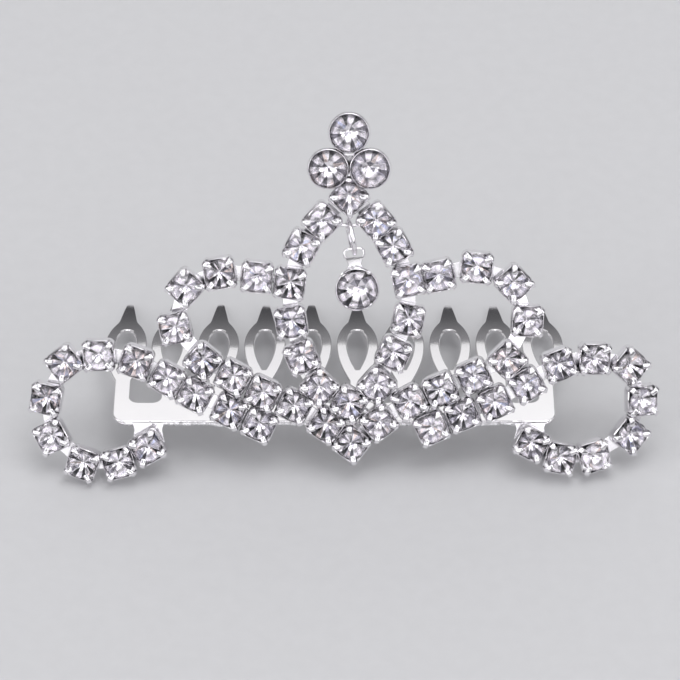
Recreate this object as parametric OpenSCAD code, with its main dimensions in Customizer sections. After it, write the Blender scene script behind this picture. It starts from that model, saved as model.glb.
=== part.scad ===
// Tiara comb: a crown of claw-set brilliants on a stamped comb, resting on a flat surface.
// The crown is drawn in its own plane, with x to the right, y up and z out of its face,
// and is then leaned back until it rests on its two scrolls and on the tips of the comb.

/* [Crown] */
// Width of the crown from scroll to scroll
crown_w = 94.5; // [93:0.5:97]
// How far the left scroll's end is bent back
bow_left = 2; // [0:0.25:3]
// How far the right scroll's end is bent back
bow_right = 4; // [0:0.25:5]
// Half the width of the crown's straight middle
straight_half = 18; // [15:0.5:22]

/* [Claw cups] */
// Side of a square cup
cup_side = 4.7; // [4.6:0.05:4.8]
// Thickness of a cup's sheet metal
cup_wall = 0.35; // [0.3:0.01:0.38]
// Height of a cup's walls
cup_h = 2.05; // [1.9:0.05:2.15]
// Distance from a cup's middle to its cut corners
corner_reach = 3; // [2.95:0.01:3.05]
// Width of a corner claw
claw_w = 0.66; // [0.5:0.01:0.75]
// Width of the flat links between cups
link_w = 2.6; // [2:0.1:3]
// Width of the end plates at their waist
waist_w = 4.3; // [3.8:0.1:4.6]
// Width of the end plates at the comb
plate_w = 5; // [4.6:0.1:5.4]
// Width of the solder bridges between strands
solder_w = 1.5; // [1:0.1:2]
// Thickness of links and solder bridges
link_t = 0.3; // [0.25:0.01:0.3]

/* [Cup stones] */
// Diameter of a cup's stone
stone_d = 4.25; // [4.1:0.05:4.3]
// Height of its crown above the girdle
stone_crown = 0.85; // [0.7:0.05:0.95]
// Depth of its point below the girdle
stone_depth = 1.65; // [1.5:0.05:1.65]
// Height of the girdle above the back of the cup
girdle_z = 2.25; // [2.25:0.01:2.3]

/* [Trefoil] */
// Diameter of each trefoil stone
trefoil_stone_d = 5.6; // [5.2:0.1:5.7]

/* [Drop] */
// Diameter of the drop's stone
drop_stone_d = 6; // [5.6:0.1:6.2]
// Distance from the drop's pivot to the middle of its stone
drop_hang = 5.4; // [5.3:0.1:5.8]
// Diameter of the jump ring, along the middle of its wire
ring_d = 5; // [4.8:0.1:5.2]
// Thickness of the jump ring's wire
ring_wire = 0.75; // [0.65:0.05:0.8]
// Thickness of the bar that the jump ring hangs on
bar_d = 0.5; // [0.45:0.05:0.6]
// Thickness of the drop's flat eye and neck
eye_t = 0.45; // [0.35:0.05:0.5]

/* [Comb] */
// Number of teeth
teeth = 10; // [8:1:11]
// Distance from one tooth to the next
tooth_pitch = 7.2; // [7:0.01:7.3]
// Distance from the band's front edge to the tips, straight across
comb_l = 35.2; // [33:0.1:36]
// Depth of the solid band along the front
band_l = 4.4; // [3.5:0.1:5]
// Width of a tooth's stem
stem_w = 2.4; // [2.2:0.05:2.6]
// Width over a tooth's loop
loop_w = 6.5; // [6.2:0.05:6.6]
// Width of the wire-like sides of a loop
loop_side = 1.65; // [1.4:0.05:1.8]
// Distance from the front edge to the widest place of the loops
loop_mid = 20.6; // [19.5:0.1:21]
// Width of the comb's blunt tips
tip_w = 1.5; // [1.2:0.05:1.8]
// Thickness of the comb's sheet metal
comb_t = 0.7; // [0.5:0.05:0.8]
// Radius to which the comb is arched
comb_arc_r = 100; // [90:5:120]
// Slope of the comb to the line square to the crown
comb_slope = 18.7; // [17:0.1:20]
// Height of the comb's front edge on the crown
comb_up = 8.6; // [8.4:0.1:9.2]
// Distance of the comb's front edge behind the crown
comb_back = 1.3; // [1.2:0.05:1.5]
// Distance of the comb's middle from the crown's, to the right
comb_shift = -1.5; // [-2:0.1:0]

/* [Fits] */
// Gap left round every stone
stone_gap = 0.1; // [0.1:0.01:0.12]
// Gap between separate metal pieces
metal_gap = 0.1; // [0.1:0.01:0.15]

/* [Hidden] */
$fn = 48;
silver = "gainsboro";
crystal = "aliceblue";

// Places of the stones along each strand, as [across, up] in hundredths of the crown's width
left_scroll_route = [
    [-31.3, 5.7], [-35.9, 3.1], [-41.7, 2.9], [-46.6, 7.2], [-47.4, 13.4], [-44.4, 19.3],
    [-38.9, 20.7], [-33, 19.7], [-28.1, 17], [-23.7, 14.4], [-18.3, 11.8], [-13.5, 9.5]];
right_scroll_route = [
    [29.8, 6.3], [34.4, 3.8], [39.8, 3.9], [45.6, 7.1], [47.4, 12.7], [45.4, 18.5],
    [39.7, 19.9], [34.1, 19.1], [29, 16], [24, 13.1], [18.9, 11.2], [14, 9]];
garland_route = [
    [-13.8, 33.6], [-19.7, 34.2], [-25.1, 31.9], [-26.8, 25.3], [-22.4, 20], [-17.6, 17.3],
    [-12.9, 14.7], [-7.9, 12.6], [-2.9, 9.5], [1.2, 6.4], [5.6, 9.9], [10.5, 13.3],
    [15.4, 15.3], [20.6, 17.5], [25.9, 20.1], [29, 26.4], [26.8, 32.5], [21, 35.1], [15, 33.8]];
centre_route = [
    [0.8, 46.5], [-3.5, 42.6], [-6.7, 38.4], [-8.6, 32.6], [-8.4, 26.3], [-6.7, 20.6],
    [-3.9, 15.7], [0.8, 13], [5.2, 16], [7.9, 21.2], [10.2, 26.7], [10.2, 33], [7.9, 38.4],
    [5.1, 42.6]];

// A bend sharper than this angle between two links leaves the cup in line with the first of them
sharp_angle = 62;
cup_floor = 0.45;
link_z = 0.08;
stone_r = stone_d / 2;
table_share = 0.55;
half_w = crown_w / 2;

// Neighbouring strands are soldered where cups stand closer than this, in hundredths as the places
solder_hundredths = 6.2;
solder_reach = solder_hundredths * crown_w / 100;

// The crown is straight in the middle, and its scrolls bend back more and more
function bend(x) = (x > 0 ? bow_right : bow_left) / pow(half_w - straight_half, 2);
function bow(x) = bend(x) * pow(max(0, abs(x) - straight_half), 2);
function bow_angle(x) = sign(x) * atan(2 * bend(x) * max(0, abs(x) - straight_half));

function across(route, i) = route[i][0] * crown_w / 100;
function up(route, i) = route[i][1] * crown_w / 100;

// Direction of the link that leads from one place of a route to another, seen in the cup's plane
function link_angle(route, i, j) = atan2(
    up(route, j) - up(route, i),
    (across(route, j) - across(route, i)) / cos(bow_angle(across(route, i))));
function turn_between(a, b) = (b - a + 540) % 360 - 180;

// Turn of a cup about its own axis, in line with the strand
function cup_turn(route, i, closed) =
    let (n = len(route), last = n - 1)
    let (before = i > 0 ? i - 1 : (closed ? last : 0))
    let (after = i < last ? i + 1 : (closed ? 0 : last))
    let (to = i == before ? link_angle(route, i, after) : link_angle(route, before, i))
    let (from = i == after ? to : link_angle(route, i, after))
    let (bend_here = turn_between(to, from))
    abs(bend_here) > sharp_angle ? to : to + bend_here / 2;

// A place holds [across, up, turn]
function places(route, closed = false) =
    [for (i = [0:len(route) - 1]) [across(route, i), up(route, i), cup_turn(route, i, closed)]];

left_scroll = places(left_scroll_route);
right_scroll = places(right_scroll_route);
garland = places(garland_route);
centre_arch = places(centre_route, closed = true);
strands = [left_scroll, right_scroll, garland, centre_arch];
all_cups = [for (strand = strands) each strand];
peak = centre_arch[0];

// Turns of a cup's claws, of which the peak's upper one makes way for the trefoil
claws = [45, 135, 225, 315];
peak_claws = [for (a = claws) if (sin(a + peak[2]) < 0.7) a];

function apart(a, b) = norm([a[0] - b[0], a[1] - b[1]]);

// Corners of a cup's outline, going round, with the square's corners cut off
function cup_outline(half, reach) =
    let (short = reach * sqrt(2) - half)
    [for (q = [0:3], side = [-1, 1])
        let (a = 90 * q, u = half, v = side * short)
        [u * cos(a) - v * sin(a), u * sin(a) + v * cos(a)]];

// Lowest corner of a cup's back
function low_corner(place) =
    let (heights = [for (c = cup_outline(cup_side / 2, corner_reach))
        place[1] + c[0] * sin(place[2]) + c[1] * cos(place[2])])
    min(heights);
foot_y = min([for (place = all_cups) low_corner(place)]);
foot_place = [for (place = all_cups) if (low_corner(place) == foot_y) place][0];
foot_back = bow(foot_place[0]);

// Comb, drawn flat with x across and y from its front edge to its tips
comb_w = (teeth - 1) * tooth_pitch + stem_w;
gap_w = tooth_pitch - stem_w;
gap_corner_r = 1.4;
band_corner_r = 1.8;
leaf_front_l = 13.4;
leaf_tip_l = 9.8;
eye_front_l = 8.4;
eye_tip_l = 5.2;
neck_w = 3.4;
neck_rise = 5.8;
tooth_neck = loop_mid + neck_rise;
plate_lap = 0.4;
lump_r = 0.9;
arc_middle = sqrt(pow(comb_arc_r, 2) - pow(comb_l / 2, 2));

// Underside of the comb's tips, in the crown's plane
tip_y = comb_up + comb_l * sin(comb_slope) - comb_t / 2 * cos(comb_slope);
tip_back = comb_back + comb_l * cos(comb_slope) + comb_t / 2 * sin(comb_slope);
lean = atan2(tip_y - foot_y, tip_back - foot_back);
rest_drop = foot_y * cos(lean) - foot_back * sin(lean);

// Bezels of the trefoil and the drop
bezel_wall = 0.25;
bezel_lip = 0.3;
bezel_floor = 0.35;
bowl_share = 0.5;
cup_share = 0.93;
trefoil_r = trefoil_stone_d / 2 + stone_gap + bezel_wall;
trefoil_crown = 1;
trefoil_depth = 1.9;
trefoil_z = 2.75;
trefoil_join = 0.04;
trefoil_half = trefoil_r - trefoil_join;
trefoil_low = peak[1] + sqrt(pow(stone_r + trefoil_r + stone_gap, 2) - pow(trefoil_half, 2));
trefoil_rise = 2 * trefoil_half * sin(60);
trefoil_middle = trefoil_low + trefoil_rise / 3;
web_r = 1.9;
web_z = 0.5;
web_t = 1;
foot_w = 1.6;

// Ring, bar and drop below the peak
ring_r = ring_d / 2;
wire_r = ring_wire / 2;
bar_z = 0.45;
ring_room = 0.45;
bar_y = peak[1] - corner_reach - ring_room - ring_wire - metal_gap - bar_d / 2;
bar_l = 4.4;
ring_lean = 10;
ring_yaw = 7;
ring_slit = 4;
ring_hang = ring_r - wire_r - metal_gap - bar_d / 2;
pivot_x = peak[0] + (ring_hang + ring_r) * sin(ring_lean);
pivot_y = bar_y - (ring_hang + ring_r) * cos(ring_lean);
drop_lean = 5;
drop_crown = 1;
drop_depth = 1.75;
drop_r = drop_stone_d / 2 + stone_gap + bezel_wall;
drop_z = 0.9;
eye_hole_w = 2.6;
eye_hole_h = 1.15;
eye_rim = 0.4;
drop_neck_w = 2;
shoulder_w = 4.6;
nib_w = 0.5;

// Middle of the whole thing's footprint, seen from the side
claw_top = 3.05;
front_y = foot_y * sin(lean) - (claw_top - foot_back) * cos(lean);
back_y = tip_y * sin(lean) + tip_back * cos(lean) + comb_t * sin(lean - comb_slope);
middle_y = (front_y + back_y) / 2;

// Stands the crown up from its own plane, leaned back at rest on the floor
module resting() {
    translate([0, -middle_y, -rest_drop])
        rotate([90 - lean, 0, 0])
            children();
}

// Sets something at a cup's place on the bowed crown
module at(place) {
    translate([place[0], place[1], -bow(place[0])])
        rotate([0, bow_angle(place[0]), 0])
            rotate([0, 0, place[2]])
                children();
}

// Brilliant with its girdle at z = 0: table, star, kite and girdle facets, and a pointed back
module brilliant(d, crown, depth) {
    star_share = 0.55;
    deep_share = 0.3;
    half_step = 22.5;
    r = d / 2;
    table_r = r * table_share;
    star_r = table_r + (r - table_r) * star_share;
    star_z = crown * (r - star_r * cos(half_step)) / (r - table_r);
    deep_r = r * deep_share;
    deep_z = -depth * (1 - deep_r * cos(half_step) / r);
    function round_row(n, row_r, row_z, start) =
        [for (i = [0:n - 1]) [row_r * cos(360 * i / n + start), row_r * sin(360 * i / n + start), row_z]];
    points = concat(
        round_row(8, table_r, crown, 0),
        round_row(8, star_r, star_z, half_step),
        round_row(16, r, 0, 0),
        round_row(8, deep_r, deep_z, half_step),
        [[0, 0, -depth]]);
    star = 8;
    girdle = 16;
    deep = 32;
    culet = 40;
    function next(i) = (i + 1) % 8;
    function girdle_at(i) = girdle + i % 16;
    faces = concat(
        [[for (i = [7:-1:0]) i]],
        [for (i = [0:7]) [i, next(i), star + i]],
        [for (i = [0:7]) [next(i), star + next(i), girdle_at(2 * i + 2), star + i]],
        [for (i = [0:7]) [star + i, girdle_at(2 * i + 1), girdle_at(2 * i)]],
        [for (i = [0:7]) [star + i, girdle_at(2 * i + 2), girdle_at(2 * i + 1)]],
        [for (i = [0:7]) [deep + i, girdle_at(2 * i), girdle_at(2 * i + 1)]],
        [for (i = [0:7]) [deep + i, girdle_at(2 * i + 1), girdle_at(2 * i + 2)]],
        [for (i = [0:7]) [culet, deep + i, girdle_at(2 * i + 2), deep + next(i)]]);
    polyhedron(points, faces);
}

// Room for a stone and the gap round it
module stone_room(d, crown, depth) {
    r = d / 2;
    rotate_extrude()
        polygon([
            [0, -depth - stone_gap],
            [r + stone_gap, -stone_gap / 2],
            [r + stone_gap, stone_gap / 2],
            [r * table_share + stone_gap, crown + stone_gap],
            [0, crown + stone_gap]]);
}

module cup_stone() {
    translate([0, 0, girdle_z])
        brilliant(stone_d, stone_crown, stone_depth);
}

// One corner claw, rising from the cup's cut corner and bent in over the stone
module claw() {
    root = 0.45;
    flare = 0.08;
    tip_reach = 1.55;
    tip_rise = 0.05;
    bend_rise = 0.25;
    rotate([90, 0, 0])
        translate([0, 0, -claw_w / 2])
            linear_extrude(claw_w)
                polygon([
                    [corner_reach - root, cup_floor],
                    [corner_reach, cup_floor],
                    [corner_reach + flare, girdle_z + bend_rise],
                    [corner_reach - root, claw_top - tip_rise],
                    [tip_reach, claw_top],
                    [tip_reach, girdle_z],
                    [corner_reach - root, girdle_z - stone_gap]]);
}

module cup(turns) {
    difference() {
        linear_extrude(cup_h)
            polygon(cup_outline(cup_side / 2, corner_reach));
        translate([0, 0, cup_floor])
            linear_extrude(cup_h)
                polygon(cup_outline(cup_side / 2 - cup_wall, corner_reach - cup_wall));
    }
    for (a = turns)
        rotate([0, 0, a])
            claw();
}

// Flat strip in the crown's back between two places
module strip(a, b, w) {
    mid_x = (a[0] + b[0]) / 2;
    angle = bow_angle(mid_x);
    run = (b[0] - a[0]) / cos(angle);
    rise = b[1] - a[1];
    translate([mid_x, (a[1] + b[1]) / 2, -(bow(a[0]) + bow(b[0])) / 2])
        rotate([0, angle, 0])
            rotate([0, 0, atan2(rise, run)])
                translate([0, 0, link_z + link_t / 2])
                    cube([norm([run, rise]), w, link_t], center = true);
}

module links(strand, closed = false) {
    last = len(strand) - 1;
    for (i = [0:last - 1])
        strip(strand[i], strand[i + 1], link_w);
    if (closed)
        strip(strand[last], strand[0], link_w);
}

// Bridges of solder between cups of different strands
module solder_bridges() {
    for (s = [0:len(strands) - 2], t = [s + 1:len(strands) - 1])
        for (a = strands[s], b = strands[t])
            if (apart(a, b) < solder_reach)
                strip(a, b, solder_w);
}

// Flat end plate that runs from a scroll's first cup up to the comb's band
module end_plate(place) {
    foot_reach = corner_reach - cup_wall;
    waist_share = 0.7;
    plate_l = comb_up + plate_lap - place[1];
    waist_l = plate_l * waist_share;
    translate([place[0], place[1], -bow(place[0])])
        rotate([0, bow_angle(place[0]), 0])
            translate([0, 0, link_z])
                linear_extrude(link_t)
                    polygon([
                        [-foot_reach, 0],
                        [foot_reach, 0],
                        [waist_w / 2, waist_l],
                        [plate_w / 2, plate_l],
                        [-plate_w / 2, plate_l],
                        [-waist_w / 2, waist_l]]);
}

// Bar across the foot of the peak, from which the jump ring hangs
module ring_bar() {
    translate([peak[0] - bar_l / 2, bar_y, bar_z])
        rotate([0, 90, 0])
            cylinder(d = bar_d, h = bar_l);
}

module claw_frame() {
    crowding = 1.12 * cup_side;
    color(silver)
        resting() {
            for (i = [0:len(all_cups) - 1])
                difference() {
                    at(all_cups[i])
                        cup(all_cups[i] == peak ? peak_claws : claws);
                    for (other = all_cups)
                        if (apart(all_cups[i], other) < crowding)
                            at(other)
                                translate([0, 0, girdle_z])
                                    stone_room(stone_d, stone_crown, stone_depth);
                }
            links(left_scroll);
            links(right_scroll);
            links(garland);
            links(centre_arch, closed = true);
            solder_bridges();
            end_plate(left_scroll[0]);
            end_plate(right_scroll[0]);
            ring_bar();
        }
}

module strand_stones(strand) {
    color(crystal)
        resting()
            for (place = strand)
                at(place)
                    cup_stone();
}

module stones_left_scroll() {
    strand_stones(left_scroll);
}

module stones_right_scroll() {
    strand_stones(right_scroll);
}

module stones_garland() {
    strand_stones(garland);
}

module stones_centre_arch() {
    strand_stones(centre_arch);
}

// Bezel round a stone whose girdle is at z = 0, narrowing to a share of its width at the back
module bezel(stone_dia, crown, depth, back_share) {
    outer_r = stone_dia / 2 + stone_gap + bezel_wall;
    back_z = -depth - stone_gap - bezel_floor;
    difference() {
        rotate_extrude()
            polygon([
                [0, back_z],
                [outer_r * back_share, back_z],
                [outer_r, -bezel_lip],
                [outer_r, bezel_lip],
                [0, bezel_lip]]);
        stone_room(stone_dia, crown, depth);
    }
}

trefoil_spots = [
    [peak[0], trefoil_low + trefoil_rise],
    [peak[0] - trefoil_half, trefoil_low],
    [peak[0] + trefoil_half, trefoil_low]];

module trefoil_setting() {
    foot_low = peak[1] + corner_reach + metal_gap;
    color(silver)
        resting() {
            difference() {
                union() {
                    for (spot = trefoil_spots)
                        translate([spot[0], spot[1], trefoil_z])
                            bezel(trefoil_stone_d, trefoil_crown, trefoil_depth, bowl_share);
                    translate([peak[0], trefoil_middle, web_z])
                        cylinder(r = web_r, h = web_t);
                    translate([peak[0] - foot_w / 2, foot_low, web_z])
                        cube([foot_w, trefoil_middle - foot_low, web_t]);
                }
                for (spot = trefoil_spots)
                    translate([spot[0], spot[1], trefoil_z])
                        stone_room(trefoil_stone_d, trefoil_crown, trefoil_depth);
            }
        }
}

module trefoil_stone(spot) {
    color(crystal)
        resting()
            translate([spot[0], spot[1], trefoil_z])
                brilliant(trefoil_stone_d, trefoil_crown, trefoil_depth);
}

module trefoil_stone_top() {
    trefoil_stone(trefoil_spots[0]);
}

module trefoil_stone_left() {
    trefoil_stone(trefoil_spots[1]);
}

module trefoil_stone_right() {
    trefoil_stone(trefoil_spots[2]);
}

// Round wire ring with a fine slit, hanging from the bar and seen nearly edge-on
module jump_ring() {
    color(silver)
        resting()
            translate([peak[0], bar_y, bar_z])
                rotate([0, 0, ring_lean])
                    translate([0, -ring_hang, 0])
                        rotate([0, 90 + ring_yaw, 0])
                            rotate([0, 0, 60])
                                rotate_extrude(angle = 360 - ring_slit)
                                    translate([ring_r, 0])
                                        circle(wire_r);
}

// Puts the drop's parts at its pivot, where its eye hangs on the ring's wire
module at_pivot() {
    translate([pivot_x, pivot_y, bar_z])
        rotate([0, 0, drop_lean])
            children();
}

// Flat shape with two round ends
module slot(w, h) {
    square([w - h, h], center = true);
    for (side = [-1, 1])
        translate([side * (w - h) / 2, 0])
            circle(d = h);
}

module drop_setting() {
    eye_hole_y = wire_r + metal_gap - eye_hole_h / 2;
    eye_w = eye_hole_w + 2 * eye_rim;
    eye_h = eye_hole_h + 2 * eye_rim;
    funnel_w = eye_w - eye_rim;
    funnel_top = eye_hole_y - eye_hole_h / 2 + eye_rim / 4;
    shoulder_low = sqrt(pow(drop_r, 2) - pow(shoulder_w / 2, 2)) - drop_hang;
    neck_y = (funnel_top + shoulder_low) / 2;
    nib_root = 0.2;
    nib_out = 0.15;
    nib_rise = 0.12;
    color(silver)
        resting()
            at_pivot()
                difference() {
                    union() {
                        translate([0, -drop_hang, drop_z])
                            bezel(drop_stone_d, drop_crown, drop_depth, cup_share);
                        translate([0, 0, -eye_t / 2])
                            linear_extrude(eye_t) {
                                translate([0, eye_hole_y])
                                    slot(eye_w, eye_h);
                                polygon([
                                    [-funnel_w / 2, funnel_top],
                                    [funnel_w / 2, funnel_top],
                                    [drop_neck_w / 2, neck_y],
                                    [shoulder_w / 2, shoulder_low],
                                    [0, -drop_hang],
                                    [-shoulder_w / 2, shoulder_low],
                                    [-drop_neck_w / 2, neck_y]]);
                            }
                        for (a = [-52, -128, 128, 52])
                            translate([0, -drop_hang, drop_z])
                                rotate([0, 0, a])
                                    translate([drop_r - bezel_wall - nib_root, -nib_w / 2, 0])
                                        cube([bezel_wall + nib_root + nib_out, nib_w, bezel_lip + nib_rise]);
                    }
                    translate([0, eye_hole_y, -eye_t])
                        linear_extrude(2 * eye_t)
                            slot(eye_hole_w, eye_hole_h);
                    translate([0, -drop_hang, drop_z])
                        stone_room(drop_stone_d, drop_crown, drop_depth);
                }
}

module drop_stone() {
    color(crystal)
        resting()
            at_pivot()
                translate([0, -drop_hang, drop_z])
                    brilliant(drop_stone_d, drop_crown, drop_depth);
}

// Half of a leaf shape that is widest at y = 0 and pointed at y = l
module half_leaf(half, l) {
    r = (pow(l, 2) + pow(half, 2)) / (2 * half);
    intersection() {
        translate([half - r, 0])
            circle(r);
        translate([r - half, 0])
            circle(r);
        translate([-half, 0])
            square([2 * half, l]);
    }
}

module leaf(half, front_l, tip_l) {
    half_leaf(half, tip_l);
    mirror([0, 1])
        half_leaf(half, front_l);
}

module tooth_shape() {
    tip_r = tip_w / 2;
    stem_short = 10;
    stem_top = loop_mid - stem_short;
    eye_round_r = 0.95;
    eye_round_y = eye_tip_l - 1.6;
    eye_point_r = 0.35;
    eye_point_y = 0.9 - eye_front_l;
    difference() {
        union() {
            translate([0, loop_mid])
                leaf(loop_w / 2, leaf_front_l, leaf_tip_l);
            translate([-stem_w / 2, band_l / 2])
                square([stem_w, stem_top - band_l / 2]);
            polygon([
                [-neck_w / 2, tooth_neck],
                [neck_w / 2, tooth_neck],
                [tip_r, comb_l - tip_r],
                [-tip_r, comb_l - tip_r]]);
            translate([0, comb_l - tip_r])
                circle(tip_r);
        }
        translate([0, loop_mid]) {
            leaf(loop_w / 2 - loop_side, eye_front_l, eye_tip_l);
            translate([0, eye_round_y])
                circle(eye_round_r);
            translate([0, eye_point_y])
                circle(eye_point_r);
        }
    }
}

// Band with a rounded gap between each pair of stems
module band_shape() {
    root_l = band_l + gap_corner_r;
    difference() {
        translate([-comb_w / 2, 0]) {
            translate([0, band_corner_r])
                square([comb_w, root_l - band_corner_r]);
            translate([band_corner_r, 0])
                square([comb_w - 2 * band_corner_r, band_corner_r]);
            for (x = [band_corner_r, comb_w - band_corner_r])
                translate([x, band_corner_r])
                    circle(band_corner_r);
        }
        for (i = [1:teeth - 1])
            translate([(i - teeth / 2) * tooth_pitch, band_l]) {
                translate([gap_corner_r - gap_w / 2, 0])
                    square([gap_w - 2 * gap_corner_r, 2 * gap_corner_r]);
                for (side = [-1, 1])
                    translate([side * (gap_w / 2 - gap_corner_r), gap_corner_r])
                        circle(gap_corner_r);
            }
    }
}

// Sheet of metal bent to an arc across the comb
module arched_sheet() {
    margin = 1;
    sheet_w = comb_w + 2 * margin;
    translate([-sheet_w / 2, comb_l / 2, -arc_middle])
        rotate([0, 90, 0])
            difference() {
                cylinder(r = comb_arc_r + comb_t / 2, h = sheet_w);
                translate([0, 0, -margin])
                    cylinder(r = comb_arc_r - comb_t / 2, h = sheet_w + 2 * margin);
            }
}

// Lump of solder that runs from the comb's front edge to the back of the crown
module solder_lump(x, y) {
    lump_l = 1.6;
    translate([x, y, -comb_back - lump_l])
        cylinder(r = lump_r, h = comb_back + lump_l - bow(x) - metal_gap);
}

// Lumps behind the crown's lowest cups and behind its two end plates
module solder_lumps() {
    for (place = [left_scroll[10], garland[8], garland[10], right_scroll[10]])
        solder_lump(place[0], comb_up + lump_r);
    for (place = [left_scroll[0], right_scroll[0]])
        solder_lump(place[0], comb_up + plate_lap - lump_r);
}

module comb() {
    slab = 12;
    color(silver)
        resting() {
            translate([comb_shift, comb_up, -comb_back])
                rotate([comb_slope - 90, 0, 0])
                    intersection() {
                        arched_sheet();
                        translate([0, 0, -slab / 2])
                            linear_extrude(slab) {
                                band_shape();
                                for (i = [0:teeth - 1])
                                    translate([(i - (teeth - 1) / 2) * tooth_pitch, 0])
                                        tooth_shape();
                            }
                    }
            solder_lumps();
        }
}

comb();
claw_frame();
stones_left_scroll();
stones_right_scroll();
stones_garland();
stones_centre_arch();
trefoil_setting();
trefoil_stone_top();
trefoil_stone_left();
trefoil_stone_right();
jump_ring();
drop_setting();
drop_stone();
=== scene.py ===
"""Looks of the tiara comb: brilliants in claw cups, a trefoil, a hanging drop and a stamped comb."""
import math
import random

import bmesh
import bpy
import numpy as np
from mathutils import Matrix, Vector


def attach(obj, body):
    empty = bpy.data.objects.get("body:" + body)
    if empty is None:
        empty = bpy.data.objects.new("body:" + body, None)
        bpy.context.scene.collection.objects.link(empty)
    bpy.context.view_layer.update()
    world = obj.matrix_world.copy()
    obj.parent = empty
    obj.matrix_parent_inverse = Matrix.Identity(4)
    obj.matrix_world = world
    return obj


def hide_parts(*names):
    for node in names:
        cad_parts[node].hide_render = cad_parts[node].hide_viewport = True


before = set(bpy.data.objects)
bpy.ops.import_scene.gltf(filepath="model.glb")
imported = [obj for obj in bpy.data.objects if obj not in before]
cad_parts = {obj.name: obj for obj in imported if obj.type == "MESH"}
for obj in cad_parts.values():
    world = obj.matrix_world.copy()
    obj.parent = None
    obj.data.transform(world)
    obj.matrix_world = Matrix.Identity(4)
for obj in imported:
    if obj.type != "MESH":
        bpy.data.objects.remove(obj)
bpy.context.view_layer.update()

MM = 0.001

# The crown's own plane, in millimetres: x to the right, y up, z out of its face, as in the CAD
# model. Its ends bow back, and it leans back, resting on its scrolls and the tips of the comb.
CROWN_W = 94.5
BOW_LEFT = 2.0
BOW_RIGHT = 4.0
STRAIGHT_HALF = 18.0
LEAN = 30.2737
MIDDLE_Y = 19.1247
REST_DROP = -0.633172
CROWN = (Matrix.Scale(MM, 4) @ Matrix.Translation((0, -MIDDLE_Y, -REST_DROP))
         @ Matrix.Rotation(math.radians(90 - LEAN), 4, "X"))

# Places of the stones across and up the crown, in hundredths of its width, as in the CAD model
LEFT_SCROLL = [
    (-31.3, 5.7), (-35.9, 3.1), (-41.7, 2.9), (-46.6, 7.2), (-47.4, 13.4), (-44.4, 19.3),
    (-38.9, 20.7), (-33, 19.7), (-28.1, 17), (-23.7, 14.4), (-18.3, 11.8), (-13.5, 9.5)]
RIGHT_SCROLL = [
    (29.8, 6.3), (34.4, 3.8), (39.8, 3.9), (45.6, 7.1), (47.4, 12.7), (45.4, 18.5),
    (39.7, 19.9), (34.1, 19.1), (29, 16), (24, 13.1), (18.9, 11.2), (14, 9)]
GARLAND = [
    (-13.8, 33.6), (-19.7, 34.2), (-25.1, 31.9), (-26.8, 25.3), (-22.4, 20), (-17.6, 17.3),
    (-12.9, 14.7), (-7.9, 12.6), (-2.9, 9.5), (1.2, 6.4), (5.6, 9.9), (10.5, 13.3),
    (15.4, 15.3), (20.6, 17.5), (25.9, 20.1), (29, 26.4), (26.8, 32.5), (21, 35.1), (15, 33.8)]
CENTRE_ARCH = [
    (0.8, 46.5), (-3.5, 42.6), (-6.7, 38.4), (-8.6, 32.6), (-8.4, 26.3), (-6.7, 20.6),
    (-3.9, 15.7), (0.8, 13), (5.2, 16), (7.9, 21.2), (10.2, 26.7), (10.2, 33), (7.9, 38.4),
    (5.1, 42.6)]

# A strand's turn, in degrees, past which a cup keeps in line with the cup before it
SHARP_TURN = 62

CUP_HALF = 2.42
CUP_REACH = 3.0
CUP_H = 2.05
GIRDLE_Z = 2.25

# Diameter, height of the crown and depth of the back of each kind of stone
CUP_STONE = (4.25, 0.85, 1.65)
TREFOIL_STONE = (5.6, 1.0, 1.9)
DROP_STONE = (6.0, 1.0, 1.75)


def bend(x):
    """How sharply that side of the crown bows back."""
    return (BOW_RIGHT if x > 0 else BOW_LEFT) / (CROWN_W / 2 - STRAIGHT_HALF) ** 2


def bow(x):
    """How far back the crown's face lies there."""
    return bend(x) * max(0, abs(x) - STRAIGHT_HALF) ** 2


def bow_angle(x):
    """How far the crown's face is turned there, in radians."""
    return math.copysign(1, x) * math.atan(2 * bend(x) * max(0, abs(x) - STRAIGHT_HALF))


def turned(degrees, axis):
    return Matrix.Rotation(math.radians(degrees), 4, axis)


def places(route, closed=False):
    """(across, up, turn in degrees) of each cup, in line with its strand."""
    spots = [(a * CROWN_W / 100, u * CROWN_W / 100) for a, u in route]
    last = len(spots) - 1

    def heading(i, j):
        run = (spots[j][0] - spots[i][0]) / math.cos(bow_angle(spots[i][0]))
        return math.degrees(math.atan2(spots[j][1] - spots[i][1], run))

    found = []
    for i, (x, y) in enumerate(spots):
        before = i - 1 if i > 0 else (last if closed else 0)
        after = i + 1 if i < last else (0 if closed else last)
        to = heading(i, after) if i == before else heading(before, i)
        away = to if i == after else heading(i, after)
        turn = (away - to + 540) % 360 - 180
        found.append((x, y, to if abs(turn) > SHARP_TURN else to + turn / 2))
    return found


STRANDS = {
    "stones_left_scroll": places(LEFT_SCROLL),
    "stones_right_scroll": places(RIGHT_SCROLL),
    "stones_garland": places(GARLAND),
    "stones_centre_arch": places(CENTRE_ARCH, closed=True)}
CUPS = [place for strand in STRANDS.values() for place in strand]
PEAK = STRANDS["stones_centre_arch"][0]


def on_crown(x, y):
    """Frame at a spot on the bowed crown, with z out of its face."""
    return Matrix.Translation((x, y, -bow(x))) @ Matrix.Rotation(bow_angle(x), 4, "Y")


def at(place):
    """Frame of a cup."""
    x, y, turn = place
    return on_crown(x, y) @ turned(turn, "Z")


# Pieces

# Two faces that meet at more than this angle keep their edge sharp
SHARP_EDGE = 50


def add_object(name, data):
    obj = bpy.data.objects.new(name, data)
    bpy.context.scene.collection.objects.link(obj)
    return obj


def settle(obj, body, nodes=()):
    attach(obj, body)
    if nodes:
        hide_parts(*nodes)


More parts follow.
